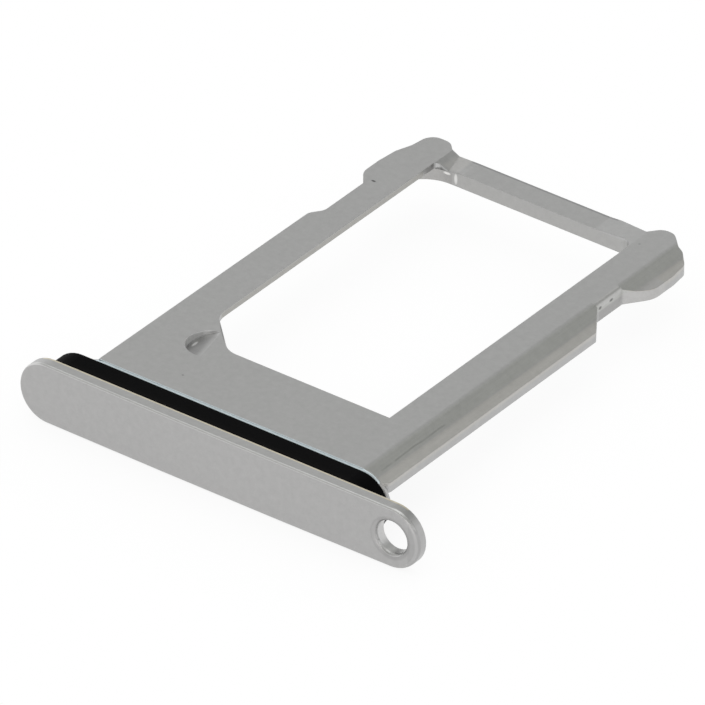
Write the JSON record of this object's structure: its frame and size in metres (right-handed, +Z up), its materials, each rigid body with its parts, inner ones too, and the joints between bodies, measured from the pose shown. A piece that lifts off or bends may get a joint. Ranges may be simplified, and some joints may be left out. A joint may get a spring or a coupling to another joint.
{
  "type": "sim card tray",
  "caption": "Removable phone tray for a nano card: face plate with an eject-pin hole, rubber seal round the neck, and an open frame with a notched side and a lowered end bar.",
  "frame": {"origin": "middle of the tray's length and width, at the height of its lowest side, the face plate's lower edge", "axes": "+X along the face plate towards the eject-pin hole, +Y into the phone, +Z up, away from the side the card is laid in"},
  "size_m": [0.0146, 0.0174, 0.002],
  "materials": {
    "tray_metal": "fine blasted satin, silver anodised",
    "seal_rubber": "smooth matt black moulding"
  },
  "bodies": {
    "root": {"tray": "tray_metal", "seal": "seal_rubber"}
  },
  "joints": []
}
